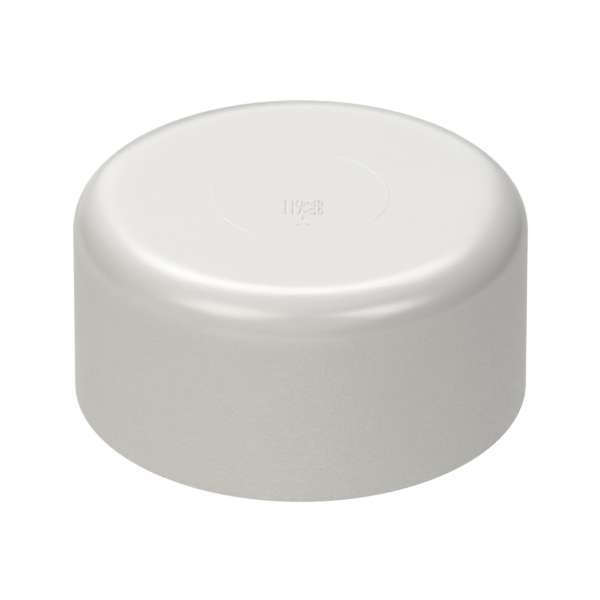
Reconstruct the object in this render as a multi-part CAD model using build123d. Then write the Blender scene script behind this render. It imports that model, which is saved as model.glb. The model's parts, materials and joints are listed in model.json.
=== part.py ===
from build123d import *
import os
from math import asin, cos, degrees, radians, sin, tan

# A one-piece moulded PVC-U end cap that is cemented over the end of a 110 mm drain pipe.
# The cap stands on its mouth: the origin is the centre of the mouth, and +Z runs up the
# socket's axis to the closed end. All sizes are in millimetres.

# Socket, which the pipe enters from below
PIPE_DIAMETER = 110.0
SOCKET_CLEARANCE = 0.2
SOCKET_DEPTH = 48.2
LEAD_IN_HEIGHT = 1.6
LEAD_IN_WIDTH = 0.7

# Outer shell
OVERALL_HEIGHT = 55.8
MOUTH_RADIUS = 58.8
SKIRT_DRAFT = 0.45
MOUTH_EDGE_RADIUS = 0.5
TOP_WALL = 3.4

# The shoulder is two tangent arcs: a slow crown off the flat top, then a tight corner
CROWN_RADIUS = 26.0
CROWN_TURN = 20.0
CORNER_RADIUS = 8.1

# Raised line on the flat top, left by the joint round the mould's marking insert
BEAD_RADIUS = 22.4
BEAD_WIDTH = 0.6
BEAD_HEIGHT = 0.06

# Raised size marks inside that line: socket diameter by depth, then overall diameter by height
SIZE_ROWS = ("110x48", "117x56")
GLYPH_WIDTH = 1.2
GLYPH_HEIGHT = 2.9
GLYPH_PITCH = 1.8
ROW_PITCH = 3.8
FIRST_ROW_Y = -4.1
STROKE_WIDTH = 0.36
MARK_HEIGHT = 0.15
MARK_ROOT = 0.4
MARKS_X = 0.4

# Cavity marks below the sizes: one upright dash over two dots
DASH_LENGTH = 1.7
DASH_Y = -11.2
DOT_DIAMETER = 0.8
DOT_SPACING = 2.6
DOT_Y = -14.8

# Each glyph is strokes on a grid GRID_WIDE by GRID_HIGH, joined end to end
GRID_WIDE = 4
GRID_HIGH = 6
GLYPHS = {
    "0": [[(0, 1), (0, 5), (1, 6), (3, 6), (4, 5), (4, 1), (3, 0), (1, 0), (0, 1)]],
    "1": [[(1, 5), (2.2, 6), (2.2, 0)]],
    "4": [[(3, 0), (3, 6), (0, 2), (4, 2)]],
    "5": [[(4, 6), (0, 6), (0, 3.6), (3, 3.6), (4, 2.6), (4, 1), (3, 0), (0, 0)]],
    "6": [[(4, 6), (1.5, 6), (0, 4.5), (0, 1), (1, 0), (3, 0), (4, 1), (4, 2.5), (3, 3.5), (0, 3.5)]],
    "7": [[(0, 6), (4, 6), (1.5, 0)]],
    "8": [
        [(1, 3.2), (0, 4.1), (0, 5.2), (1, 6), (3, 6), (4, 5.2), (4, 4.1), (3, 3.2), (1, 3.2)],
        [(1, 3.2), (0, 2.2), (0, 1), (1, 0), (3, 0), (4, 1), (4, 2.2), (3, 3.2)],
    ],
    "x": [[(0.3, 1.1), (3.7, 4.3)], [(0.3, 4.3), (3.7, 1.1)]],
}

socket_radius = PIPE_DIAMETER / 2 + SOCKET_CLEARANCE
crown_slope = 90.0 - CROWN_TURN


def on_circle(centre, radius, angle):
    """The point of an upright circle at an angle above the horizontal, in degrees."""
    return (centre[0] + radius * cos(radians(angle)), centre[1] + radius * sin(radians(angle)))


def upright(point):
    """A (radius, height) pair as a point of the XZ plane."""
    return (point[0], 0, point[1])


def arc(centre, radius, start, end):
    """An upright arc from one angle to another."""
    stops = (start, (start + end) / 2, end)
    return ThreePointArc(*(upright(on_circle(centre, radius, angle)) for angle in stops))


def shoulder_centres():
    """Centres of the shoulder's corner arc and crown arc, from the height and the drafted skirt."""
    corner_z = (
        OVERALL_HEIGHT
        - CROWN_RADIUS * (1 - sin(radians(crown_slope)))
        - CORNER_RADIUS * sin(radians(crown_slope))
    )
    skirt_top_z = corner_z + CORNER_RADIUS * sin(radians(SKIRT_DRAFT))
    skirt_top_radius = MOUTH_RADIUS - skirt_top_z * tan(radians(SKIRT_DRAFT))
    corner = (skirt_top_radius - CORNER_RADIUS * cos(radians(SKIRT_DRAFT)), corner_z)
    crown = on_circle(corner, CORNER_RADIUS - CROWN_RADIUS, crown_slope)
    return corner, crown


def mouth_edge_centre():
    """Centre of the small round between the drafted skirt and the rim's flat face."""
    tangent_z = MOUTH_EDGE_RADIUS * (1 + sin(radians(SKIRT_DRAFT)))
    tangent_radius = MOUTH_RADIUS - tangent_z * tan(radians(SKIRT_DRAFT))
    return (tangent_radius - MOUTH_EDGE_RADIUS * cos(radians(SKIRT_DRAFT)), MOUTH_EDGE_RADIUS)


def shell_section():
    """Half of the cap's upright section, walked from the axis out over the top and back inside."""
    corner, crown = shoulder_centres()
    edge = mouth_edge_centre()
    inner_corner_radius = CORNER_RADIUS - TOP_WALL
    stop_angle = degrees(asin((SOCKET_DEPTH - corner[1]) / inner_corner_radius))
    underside_z = OVERALL_HEIGHT - TOP_WALL

    bead = ThreePointArc(
        upright((BEAD_RADIUS - BEAD_WIDTH / 2, OVERALL_HEIGHT)),
        upright((BEAD_RADIUS, OVERALL_HEIGHT + BEAD_HEIGHT)),
        upright((BEAD_RADIUS + BEAD_WIDTH / 2, OVERALL_HEIGHT)),
    )
    outer_crown = arc(crown, CROWN_RADIUS, 90, crown_slope)
    outer_corner = arc(corner, CORNER_RADIUS, crown_slope, SKIRT_DRAFT)
    mouth_edge = arc(edge, MOUTH_EDGE_RADIUS, SKIRT_DRAFT, -90)
    socket = Polyline(
        upright((socket_radius + LEAD_IN_WIDTH, 0)),
        upright((socket_radius, LEAD_IN_HEIGHT)),
        upright((socket_radius, SOCKET_DEPTH)),
        upright(on_circle(corner, inner_corner_radius, stop_angle)),
    )
    inner_corner = arc(corner, inner_corner_radius, stop_angle, crown_slope)
    inner_crown = arc(crown, CROWN_RADIUS - TOP_WALL, crown_slope, 90)
    joins = [
        Line(upright((0, OVERALL_HEIGHT)), bead @ 0),
        Line(bead @ 1, outer_crown @ 0),
        Line(outer_corner @ 1, mouth_edge @ 0),
        Line(mouth_edge @ 1, socket @ 0),
        Line(inner_crown @ 1, upright((0, underside_z))),
        Line(upright((0, underside_z)), upright((0, OVERALL_HEIGHT))),
    ]
    curves = [bead, outer_crown, outer_corner, mouth_edge, socket, inner_corner, inner_crown]
    return make_face(Curve() + curves + joins)


def stroke(points):
    """A round-ended stroke along the points, as one flat sketch."""
    runs = zip(points, points[1:])
    return Sketch() + [SlotCenterPoint(midpoint(a, b), b, STROKE_WIDTH) for a, b in runs]


def midpoint(a, b):
    return ((a[0] + b[0]) / 2, (a[1] + b[1]) / 2)


def size_row(text, centre_y):
    """One row of glyphs, centred on MARKS_X."""
    first_x = MARKS_X - GLYPH_PITCH * (len(text) - 1) / 2
    row = Sketch()
    for place, letter in enumerate(text):
        left = first_x + place * GLYPH_PITCH - GLYPH_WIDTH / 2
        bottom = centre_y - GLYPH_HEIGHT / 2
        for points in GLYPHS[letter]:
            row += stroke([
                (left + x * GLYPH_WIDTH / GRID_WIDE, bottom + y * GLYPH_HEIGHT / GRID_HIGH)
                for x, y in points
            ])
    return row


def marks():
    """Every raised mark on the flat top, as solids rooted a little way into the wall."""
    flat = Sketch()
    for place, text in enumerate(SIZE_ROWS):
        flat += size_row(text, FIRST_ROW_Y - place * ROW_PITCH)
    flat += stroke([(MARKS_X, DASH_Y + DASH_LENGTH / 2), (MARKS_X, DASH_Y - DASH_LENGTH / 2)])
    for side in (-1, 1):
        flat += Pos(MARKS_X + side * DOT_SPACING / 2, DOT_Y) * Circle(DOT_DIAMETER / 2)
    return Pos(0, 0, OVERALL_HEIGHT - MARK_ROOT) * extrude(flat, MARK_HEIGHT + MARK_ROOT)


def end_cap():
    """The whole moulding: the revolved shell with its raised marks."""
    return revolve(shell_section(), Axis.Z) + marks()


os.makedirs("parts", exist_ok=True)
cap = end_cap()
export_step(cap, "parts/end_cap.step")
print("end_cap", "solids", len(cap.solids()), "volume", round(cap.volume))
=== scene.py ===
import json
from math import asin, cos, degrees, pi, radians, sin, tan

import bpy
import numpy as np
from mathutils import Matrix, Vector


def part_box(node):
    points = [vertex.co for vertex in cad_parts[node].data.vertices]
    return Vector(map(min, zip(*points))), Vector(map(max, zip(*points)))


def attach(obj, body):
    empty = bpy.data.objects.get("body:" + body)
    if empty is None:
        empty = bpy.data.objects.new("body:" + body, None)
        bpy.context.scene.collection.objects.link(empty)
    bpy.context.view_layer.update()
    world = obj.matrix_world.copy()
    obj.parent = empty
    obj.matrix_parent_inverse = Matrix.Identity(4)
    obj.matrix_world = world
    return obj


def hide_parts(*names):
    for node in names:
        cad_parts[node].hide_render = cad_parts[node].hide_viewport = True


# A moulded PVC-U pipe cap standing on its mouth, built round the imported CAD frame.
# The moulding is one watertight mesh: a fine lathed shell, with a square patch of closer
# mesh let into its top for the raised marks. Lengths are in millimetres until the mesh
# is made, and in metres for the camera, floor and lights.

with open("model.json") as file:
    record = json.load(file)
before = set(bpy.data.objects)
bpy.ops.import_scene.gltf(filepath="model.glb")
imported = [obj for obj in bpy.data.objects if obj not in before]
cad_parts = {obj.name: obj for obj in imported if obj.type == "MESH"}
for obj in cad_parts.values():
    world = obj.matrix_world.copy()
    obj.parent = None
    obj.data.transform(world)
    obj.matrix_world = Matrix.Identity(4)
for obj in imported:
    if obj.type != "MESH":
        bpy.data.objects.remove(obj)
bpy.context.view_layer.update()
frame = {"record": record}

METRES = 0.001
cap_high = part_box("end_cap")[1]
mounts = {mount["name"]: mount for mount in frame["record"]["mounts"]}
socket = mounts["pipe_socket"]

# Raised marks
MARK_HEIGHT = 0.15
STROKE_WIDTH = 0.36
MARK_SOFTNESS = 0.22
SIZE_ROWS = ("110x48", "117x56")
GLYPH_WIDTH = 1.2
GLYPH_HEIGHT = 2.9
GLYPH_PITCH = 1.8
ROW_PITCH = 3.8
FIRST_ROW_Y = -4.1
MARKS_X = 0.4
DASH_LENGTH = 1.7
DASH_Y = -11.2
DOT_DIAMETER = 0.8
DOT_SPACING = 2.6
DOT_Y = -14.8

# Each glyph is strokes on a grid GRID_WIDE by GRID_HIGH, joined end to end
GRID_WIDE = 4
GRID_HIGH = 6
GLYPHS = {
    "0": [[(0, 1), (0, 5), (1, 6), (3, 6), (4, 5), (4, 1), (3, 0), (1, 0), (0, 1)]],
    "1": [[(1, 5), (2.2, 6), (2.2, 0)]],
    "4": [[(3, 0), (3, 6), (0, 2), (4, 2)]],
    "5": [[(4, 6), (0, 6), (0, 3.6), (3, 3.6), (4, 2.6), (4, 1), (3, 0), (0, 0)]],
    "6": [
        [(4, 6), (1.5, 6), (0, 4.5), (0, 1), (1, 0), (3, 0), (4, 1), (4, 2.5), (3, 3.5), (0, 3.5)],
    ],
    "7": [[(0, 6), (4, 6), (1.5, 0)]],
    "8": [
        [(1, 3.2), (0, 4.1), (0, 5.2), (1, 6), (3, 6), (4, 5.2), (4, 4.1), (3, 3.2), (1, 3.2)],
        [(1, 3.2), (0, 2.2), (0, 1), (1, 0), (3, 0), (4, 1), (4, 2.2), (3, 3.2)],
    ],
    "x": [[(0.3, 1.1), (3.7, 4.3)], [(0.3, 4.3), (3.7, 1.1)]],
}

# Outer shell, as in the CAD model: the sizes that its box and mounts don't give
SKIRT_DRAFT = 0.45
MOUTH_EDGE_RADIUS = 0.5
TOP_WALL = 3.4
CROWN_RADIUS = 26.0
CROWN_TURN = 20.0
CORNER_RADIUS = 8.1
BEAD_RADIUS = 22.4
BEAD_WIDTH = 0.6
BEAD_HEIGHT = 0.06
LEAD_IN_WIDTH = 0.7
INNER_EDGE_RADIUS = 0.2

mouth_radius = cap_high.x / METRES
overall_height = cap_high.z / METRES - MARK_HEIGHT
socket_radius = socket["dims"]["r_mm"]
lead_in_height = socket["pos_m"][2] / METRES - socket["dims"]["length_mm"] / 2
socket_depth = lead_in_height + socket["dims"]["length_mm"]
crown_slope = 90.0 - CROWN_TURN

# Mesh fineness: steps along each run of the section
TOP_STEPS = 4
BEAD_STEPS = 10
FLAT_STEPS = 30
CROWN_STEPS = 24
CORNER_STEPS = 26
SKIRT_STEPS = 20
MOUTH_EDGE_STEPS = 6
RIM_STEPS = 3
LEAD_IN_STEPS = 3
SOCKET_STEPS = 14
SOFT_CORNER_STEPS = 4
INNER_CORNER_STEPS = 10
INNER_CROWN_STEPS = 8
UNDERSIDE_STEPS = 12

# Mesh fineness of the marks' patch, and of the turn around it. The turn starts at the
# patch's lowest corner.
PATCH_CELLS = 104
PATCH_SIDE = 13.2
PATCH_CENTRE = (MARKS_X, -8.9)
PATCH_RING_RADIUS = 21.0
PATCH_RING_STEPS = 12
TURN_STEPS = 4 * PATCH_CELLS
FIRST_TURN = -135.0

# The skirt's grain fades out this far above and below the shoulder's corner centre
GRAIN_FADE = 0.6


# ---------------------------------------------------------------- section of the shell

def on_circle(centre, radius, angle):
    """The point of an upright circle at an angle above the horizontal, in degrees."""
    return (centre[0] + radius * cos(radians(angle)), centre[1] + radius * sin(radians(angle)))


def arc(centre, radius, start, end, steps):
    """Points of an upright arc, both ends included."""
    return [on_circle(centre, radius, start + (end - start) * k / steps) for k in range(steps + 1)]


def line(start, end, steps):
    """Points between two (radius, height) pairs, with neither end."""
    a, b = Vector(start), Vector(end)
    return [tuple(a.lerp(b, k / steps)) for k in range(1, steps)]


def soft_corner(before, corner, after, radius):
    """A rounded corner, as points of a curve that is tangent to both runs."""
    a, c, b = Vector(before), Vector(corner), Vector(after)
    start = c + (a - c).normalized() * radius
    end = c + (b - c).normalized() * radius
    spots = [k / SOFT_CORNER_STEPS for k in range(SOFT_CORNER_STEPS + 1)]
    return [tuple((1 - t) ** 2 * start + 2 * t * (1 - t) * c + t * t * end) for t in spots]


def shoulder_centres():
    """Centres of the shoulder's corner arc and crown arc, from the height and the drafted skirt."""
    corner_z = (
        overall_height
        - CROWN_RADIUS * (1 - sin(radians(crown_slope)))
        - CORNER_RADIUS * sin(radians(crown_slope))
    )
    skirt_top_z = corner_z + CORNER_RADIUS * sin(radians(SKIRT_DRAFT))
    skirt_top_radius = mouth_radius - skirt_top_z * tan(radians(SKIRT_DRAFT))
    corner = (skirt_top_radius - CORNER_RADIUS * cos(radians(SKIRT_DRAFT)), corner_z)
    crown = on_circle(corner, CORNER_RADIUS - CROWN_RADIUS, crown_slope)
    return corner, crown


def bead_section():
    """The raised line on the flat top, as a smooth hump."""
    points = []
    for k in range(BEAD_STEPS + 1):
        across = k / BEAD_STEPS - 0.5
        points.append((
            BEAD_RADIUS + BEAD_WIDTH * across,
            overall_height + BEAD_HEIGHT * (0.5 + 0.5 * cos(2 * pi * across)),
        ))
    return points


def outer_section():
    """From the ring round the marks' patch, over the shoulder and down to the rim."""
    corner, crown = shoulder_centres()
    edge = (mouth_radius - MOUTH_EDGE_RADIUS, MOUTH_EDGE_RADIUS)
    bead = bead_section()
    shoulder = arc(crown, CROWN_RADIUS, 90, crown_slope, CROWN_STEPS)
    shoulder += arc(corner, CORNER_RADIUS, crown_slope, SKIRT_DRAFT, CORNER_STEPS)[1:]
    mouth_edge = arc(edge, MOUTH_EDGE_RADIUS, SKIRT_DRAFT, -90, MOUTH_EDGE_STEPS)
    start = (PATCH_RING_RADIUS, overall_height)
    return (
        [start] + line(start, bead[0], TOP_STEPS) + bead
        + line(bead[-1], shoulder[0], FLAT_STEPS) + shoulder
        + line(shoulder[-1], mouth_edge[0], SKIRT_STEPS) + mouth_edge
    )


def inner_section(rim_point):
    """From the rim, up the socket, past the stop ledge and in along the underside."""
    corner, crown = shoulder_centres()
    inner_corner_radius = CORNER_RADIUS - TOP_WALL
    stop_angle = degrees(asin((socket_depth - corner[1]) / inner_corner_radius))
    shoulder = arc(corner, inner_corner_radius, stop_angle, crown_slope, INNER_CORNER_STEPS)
    shoulder += arc(crown, CROWN_RADIUS - TOP_WALL, crown_slope, 90, INNER_CROWN_STEPS)[1:]
    turns = [
        (socket_radius + LEAD_IN_WIDTH, 0),
        (socket_radius, lead_in_height),
        (socket_radius, socket_depth),
        shoulder[0],
    ]
    rim_edge = soft_corner(rim_point, turns[0], turns[1], INNER_EDGE_RADIUS)
    lead_in_edge = soft_corner(turns[0], turns[1], turns[2], 2 * INNER_EDGE_RADIUS)
    ledge_root = soft_corner(turns[1], turns[2], turns[3], INNER_EDGE_RADIUS)
    ledge_edge = soft_corner(turns[2], turns[3], shoulder[1], INNER_EDGE_RADIUS)
    underside = line(shoulder[-1], (0, overall_height - TOP_WALL), UNDERSIDE_STEPS)
    return (
        line(rim_point, rim_edge[0], RIM_STEPS) + rim_edge
        + line(rim_edge[-1], lead_in_edge[0], LEAD_IN_STEPS) + lead_in_edge
        + line(lead_in_edge[-1], ledge_root[0], SOCKET_STEPS)
        + ledge_root + ledge_edge + shoulder[1:] + underside
    )


# ---------------------------------------------------------------- raised marks

def glyph_strokes():
    """Every straight stroke of the raised sizes, as pairs of points on the flat top."""
    strokes = []
    for row, text in enumerate(SIZE_ROWS):
        first_x = MARKS_X - GLYPH_PITCH * (len(text) - 1) / 2
        bottom = FIRST_ROW_Y - row * ROW_PITCH - GLYPH_HEIGHT / 2
        for place, letter in enumerate(text):
            left = first_x + place * GLYPH_PITCH - GLYPH_WIDTH / 2
            for points in GLYPHS[letter]:
                path = [
                    (left + x * GLYPH_WIDTH / GRID_WIDE, bottom + y * GLYPH_HEIGHT / GRID_HIGH)
                    for x, y in points
                ]
                strokes += list(zip(path, path[1:]))
    return strokes


def distance_to_stroke(x, y, start, end):
    """How far each grid point is from one straight stroke's centreline."""
    ax, ay = start
    bx, by = end
    length_squared = (bx - ax) ** 2 + (by - ay) ** 2
    along = np.zeros_like(x)
    if length_squared:
        along = np.clip(((x - ax) * (bx - ax) + (y - ay) * (by - ay)) / length_squared, 0, 1)
    return np.hypot(x - ax - along * (bx - ax), y - ay - along * (by - ay))


def raised(x, y, strokes, width):
    """A soft-edged ridge along the strokes, from 0 on the flat to 1 on top."""
    distance = np.min([distance_to_stroke(x, y, a, b) for a, b in strokes], axis=0)
    ramp = np.clip((width / 2 + MARK_SOFTNESS / 2 - distance) / MARK_SOFTNESS, 0, 1)
    return ramp * ramp * (3 - 2 * ramp)


def marks_height(x, y):
    """Height of every raised mark above the flat top."""
    dash = [((MARKS_X, DASH_Y + DASH_LENGTH / 2), (MARKS_X, DASH_Y - DASH_LENGTH / 2))]
    dot_places = [(MARKS_X + side * DOT_SPACING / 2, DOT_Y) for side in (-1, 1)]
    dots = [(place, place) for place in dot_places]
    lines = raised(x, y, glyph_strokes() + dash, STROKE_WIDTH)
    return MARK_HEIGHT * np.maximum(lines, raised(x, y, dots, DOT_DIAMETER))


# ---------------------------------------------------------------- the moulding's mesh

def patch_points():
    """The square patch that carries the marks, as a grid of points seen from above."""
    steps = PATCH_SIDE * (np.arange(PATCH_CELLS + 1) / PATCH_CELLS - 0.5)
    x, y = np.meshgrid(PATCH_CENTRE[0] + steps, PATCH_CENTRE[1] + steps)
    return np.stack([x, y, overall_height + marks_height(x, y)], axis=-1)


def patch_border():
    """Indices of the patch's border, anticlockwise from its lowest corner, as (row, column)."""
    n = PATCH_CELLS
    return (
        [(0, k) for k in range(n)] + [(k, n) for k in range(n)]
        + [(n, n - k) for k in range(n)] + [(n - k, 0) for k in range(n)]
    )


def turn_angles():
    return np.radians(FIRST_TURN + 360.0 * np.arange(TURN_STEPS) / TURN_STEPS)


def lathe_rings(section):
    """One ring of points for each point of the section."""
    angles = turn_angles()
    return [
        np.stack([r * np.cos(angles), r * np.sin(angles), np.full(TURN_STEPS, z)], axis=-1)
        for r, z in section
    ]


def fan_rings(border, first_ring):
    """Rings that turn the square patch's border into the lathe's first ring."""
    return [border + (first_ring - border) * k / PATCH_RING_STEPS for k in range(1, PATCH_RING_STEPS)]


def strip_faces(inner, outer):
    """Quads between two closed rings of point indices."""
    return list(zip(inner, outer, np.roll(outer, -1), np.roll(inner, -1)))


def moulding_mesh():
    """Points and faces of the moulding, in millimetres, and how many of the points are outside."""
    patch = patch_points()
    side = PATCH_CELLS + 1
    index = np.arange(side * side).reshape(side, side)
    points = [patch.reshape(-1, 3)]
    faces = list(zip(
        index[:-1, :-1].flat, index[:-1, 1:].flat, index[1:, 1:].flat, index[1:, :-1].flat
    ))

    outer = outer_section()
    outer_rings = lathe_rings(outer)
    inner_rings = lathe_rings(inner_section(outer[-1]))
    border_places = patch_border()
    border = np.array([patch[place] for place in border_places])
    last = np.array([index[place] for place in border_places])
    outer_rings = fan_rings(border, outer_rings[0]) + outer_rings
    count = side * side
    outside_count = count + len(outer_rings) * TURN_STEPS
    for ring in outer_rings + inner_rings:
        here = count + np.arange(TURN_STEPS)
        faces += strip_faces(last, here)
        points.append(ring)
        last, count = here, count + TURN_STEPS
    points.append(np.array([[0, 0, overall_height - TOP_WALL]]))
    faces += [(a, b, count) for a, b in zip(np.roll(last, -1), last)]
    return np.concatenate(points), [tuple(int(i) for i in face) for face in faces], outside_count


def smooth_step(value, start, end):
    """0 before start and 1 after end, with a smooth rise between."""
    t = np.clip((value - start) / (end - start), 0, 1)
    return t * t * (3 - 2 * t)


def skirt_grain(points, outside_count):
    """1 on the grained skirt, and 0 on the smooth shoulder, top and inside."""
    outside = np.arange(len(points)) < outside_count
    corner_z = shoulder_centres()[0][1]
    return outside * smooth_step(-points[:, 2], -corner_z - GRAIN_FADE, -corner_z + GRAIN_FADE)


def add_moulding():
    points, faces, outside_count = moulding_mesh()
    mesh = bpy.data.meshes.new("pipe_cap_moulding")
    mesh.from_pydata((points * METRES).tolist(), [], faces)
    grain = mesh.attributes.new("skirt_grain", "FLOAT", "POINT")
    grain.data.foreach_set("value", skirt_grain(points, outside_count).astype(np.float32))
    mesh.shade_smooth()
    mesh.update()
    piece = bpy.data.objects.new("pipe_cap_moulding", mesh)
    bpy.context.scene.collection.objects.link(piece)
    return piece


# ---------------------------------------------------------------- materials

class Nodes:
    """Short calls for making and joining a material's nodes."""

    def __init__(self, name):
        self.material = bpy.data.materials.new(name)
        self.material.use_nodes = True
        self.tree = self.material.node_tree
        self.shader = self.tree.nodes["Principled BSDF"]

    def feed(self, socket, value):
        if isinstance(value, bpy.types.NodeSocket):
            self.tree.links.new(value, socket)
        else:
            socket.default_value = value

    def add(self, kind, **inputs):
        node = self.tree.nodes.new(kind)
        for name, value in inputs.items():
            self.feed(node.inputs[name.replace("_", " ")], value)
        return node

    def maths(self, operation, *values):
        node = self.tree.nodes.new("ShaderNodeMath")
        node.operation = operation
        for socket, value in zip(node.inputs, values):
            self.feed(socket, value)
        return node.outputs[0]

    def noise(self, place, scale, detail=2.0, roughness=0.5):
        return self.add(
            "ShaderNodeTexNoise", Vector=place, Scale=scale, Detail=detail, Roughness=roughness
        ).outputs["Fac"]

    def zone(self, name):
        node = self.tree.nodes.new("ShaderNodeAttribute")
        node.attribute_name = name
        return node.outputs["Fac"]

    def mix(self, kind, sockets, factor, a, b):
        """A Mix node that is a where factor is 0 and b where it is 1."""
        node = self.tree.nodes.new("ShaderNodeMix")
        node.data_type = kind
        for place, value in zip(sockets, (factor, a, b)):
            self.feed(node.inputs[place], value)
        return node

    def blend(self, factor, a, b):
        """A number between a and b."""
        return self.mix("FLOAT", (0, 2, 3), factor, a, b).outputs[0]

    def tint(self, factor, a, b):
        """A colour between a and b."""
        return self.mix("RGBA", (0, 6, 7), factor, a, b).outputs[2]


# The plastic: two close off-whites in soft clouds, and its finish
PALE = (0.65, 0.642, 0.615, 1)
DULL = (0.63, 0.622, 0.596, 1)
CLOUD_SCALE = 45.0
PLASTIC_IOR = 1.54
PLASTIC_SPECULAR = 1.0
SMOOTH_ROUGHNESS = 0.28
GRAIN_ROUGHNESS = 0.32

# Bumps of the moulded surface: noise scales per metre, and heights in millimetres
SPARK_SCALE = 1100.0
SPARK_ON_SKIRT = 0.36
SPARK_ON_TOP = 0.03
PEEL_SCALE = 320.0
PEEL_HEIGHT = 0.05


def moulded_pvc():
    """Off-white PVC-U straight from the mould, with a fine grain on the skirt."""
    n = Nodes("pipe_cap_pvc")
    place = n.tree.nodes.new("ShaderNodeTexCoord").outputs["Object"]
    grain = n.zone("skirt_grain")

    n.feed(n.shader.inputs["IOR"], PLASTIC_IOR)
    n.feed(n.shader.inputs["Specular IOR Level"], PLASTIC_SPECULAR)
    clouds = n.noise(place, CLOUD_SCALE, detail=4.0)
    n.feed(n.shader.inputs["Base Color"], n.tint(clouds, DULL, PALE))
    n.feed(n.shader.inputs["Roughness"], n.blend(grain, SMOOTH_ROUGHNESS, GRAIN_ROUGHNESS))

    spark = n.noise(place, SPARK_SCALE, detail=2.0, roughness=0.6)
    peel = n.noise(place, PEEL_SCALE, detail=3.0)
    height = n.maths(
        "ADD",
        n.maths("MULTIPLY", spark, n.blend(grain, SPARK_ON_TOP, SPARK_ON_SKIRT)),
        n.maths("MULTIPLY", peel, PEEL_HEIGHT),
    )
    bump = n.add("ShaderNodeBump", Strength=1.0, Distance=METRES, Height=height)
    n.feed(n.shader.inputs["Normal"], bump.outputs["Normal"])
    return n.material


def lit_floor():
    """White paper that glows by itself, so that it shows no shadow."""
    n = Nodes("lit_floor")
    n.feed(n.shader.inputs["Base Color"], (0, 0, 0, 1))
    n.feed(n.shader.inputs["Specular IOR Level"], 0.0)
    n.feed(n.shader.inputs["Emission Color"], (1, 1, 1, 1))
    n.feed(n.shader.inputs["Emission Strength"], 1.0)
    return n.material


# ---------------------------------------------------------------- camera, floor and lights

CAMERA_ELEVATION = 30.8
CAMERA_DISTANCE = 1.58
CAMERA_LENS = 366.0
CAMERA_SENSOR = 36.0
CAMERA_REACH = 50.0
LOOK_AT = Vector((-0.00014, 0, 0.0246))

FLOOR_HALF = 8.0
TABLE_DIAMETER = 1.08
TABLE_CENTRE = Vector((-0.19, -0.05, -METRES))
TABLE_GLOW = 0.75

PLAIN = (1.0, 1.0, 1.0)
WARM = (1.0, 0.975, 0.94)
COOL = (0.97, 0.985, 1.0)

# Name, azimuth, elevation, distance, width, height, glow and colour. The first three make
# the highlights, the close one makes the left of the top a little brighter than the right,
# and the rest fill in.
SOFTBOXES = (
    ("back_strip", 180.3, 48.2, 1.2, 0.72, 0.24, 5.9, PLAIN),
    ("left_box", -53.9, 59.8, 1.2, 0.65, 0.75, 3.2, WARM),
    ("right_box", 54.7, 55.9, 1.2, 0.53, 0.70, 3.65, COOL),
    ("close_left_high", -90.0, 75.0, 0.40, 0.20, 0.20, 0.45, PLAIN),
    ("overhead", 221.3, 65.3, 1.6, 1.32, 1.56, 0.57, PLAIN),
    ("overhead_back", 180.0, 72.0, 1.6, 0.80, 0.80, 0.30, COOL),
    ("front_fill", -20.0, 43.2, 1.8, 3.57, 1.00, 0.54, PLAIN),
    ("left_fill", -16.2, 3.0, 1.8, 2.01, 2.02, 0.61, WARM),
    ("far_left_fill", -73.0, 5.5, 1.8, 1.20, 0.85, 0.70, WARM),
    ("left_mid_fill", -90.0, 32.0, 1.8, 1.00, 0.80, 0.26, WARM),
    ("right_fill", 65.0, 5.0, 1.8, 1.20, 0.80, 0.08, COOL),
    ("back_left_fill", 205.1, 15.0, 1.8, 0.68, 1.62, 0.70, COOL),
    ("back_fill", 181.1, 21.9, 1.8, 1.16, 0.90, 1.68, PLAIN),
    ("back_right_fill", 163.4, 3.0, 1.8, 1.16, 0.81, 0.42, PLAIN),
)


def look_along(obj, direction):
    obj.rotation_euler = direction.to_track_quat("-Z", "Y").to_euler()


def from_angles(azimuth, elevation):
    """A unit vector: azimuth 0 is the camera's side, -Y, and 90 is +X."""
    a, e = radians(azimuth), radians(elevation)
    return Vector((sin(a) * cos(e), -cos(a) * cos(e), sin(e)))


def add_camera():
    data = bpy.data.cameras.new("camera")
    data.lens = CAMERA_LENS
    data.sensor_width = CAMERA_SENSOR
    data.clip_end = CAMERA_REACH
    camera = bpy.data.objects.new("camera", data)
    camera.location = LOOK_AT + CAMERA_DISTANCE * from_angles(0, CAMERA_ELEVATION)
    look_along(camera, LOOK_AT - camera.location)
    bpy.context.scene.collection.objects.link(camera)
    bpy.context.scene.camera = camera


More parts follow.
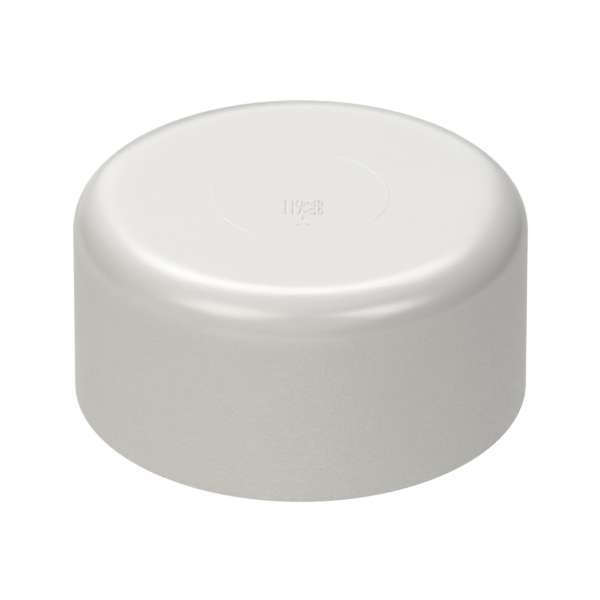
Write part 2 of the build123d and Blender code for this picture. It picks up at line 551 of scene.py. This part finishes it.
def add_floor():
    """A white sheet that only the camera sees, so that it casts no light on the object."""
    quarters = ((-1, -1), (1, -1), (1, 1), (-1, 1))
    corners = [(x * FLOOR_HALF, y * FLOOR_HALF, 0) for x, y in quarters]
    mesh = bpy.data.meshes.new("floor")
    mesh.from_pydata(corners, [], [(0, 1, 2, 3)])
    mesh.materials.append(lit_floor())
    floor = bpy.data.objects.new("floor", mesh)
    bpy.context.scene.collection.objects.link(floor)
    for kind in ("diffuse", "glossy", "transmission", "shadow"):
        setattr(floor, "visible_" + kind, False)


def add_lamp(name, shape, size, glow, location, direction, colour):
    """An area light that the camera doesn't see. A glow of 1 looks white."""
    data = bpy.data.lights.new(name, "AREA")
    data.shape = shape
    data.size, data.size_y = size
    area = size[0] * size[1] * (pi / 4 if shape == "DISK" else 1)
    data.energy = glow * pi * area
    data.color = colour
    lamp = bpy.data.objects.new(name, data)
    lamp.location = location
    look_along(lamp, direction)
    lamp.visible_camera = False
    bpy.context.scene.collection.objects.link(lamp)


def add_table():
    """A round lamp just under the floor, which lights the skirt as a pale table would."""
    size = (TABLE_DIAMETER, TABLE_DIAMETER)
    add_lamp("table", "DISK", size, TABLE_GLOW, TABLE_CENTRE, Vector((0, 0, 1)), WARM)


def add_softbox(name, azimuth, elevation, distance, width, height, glow, colour):
    """A rectangular softbox that faces the object."""
    toward = from_angles(azimuth, elevation)
    add_lamp(name, "RECTANGLE", (width, height), glow, LOOK_AT + distance * toward, -toward, colour)


def add_dark_world():
    """Nothing but the lamps lights the object."""
    world = bpy.data.worlds.new("studio")
    world.use_nodes = True
    world.node_tree.nodes["Background"].inputs["Strength"].default_value = 0.0
    bpy.context.scene.world = world


# ---------------------------------------------------------------- the scene

moulding = add_moulding()
moulding.data.materials.append(moulded_pvc())
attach(moulding, "root")
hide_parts("end_cap")

add_camera()
add_floor()
add_table()
for softbox in SOFTBOXES:
    add_softbox(*softbox)
add_dark_world()

scene = bpy.context.scene
scene.view_settings.view_transform = "Standard"
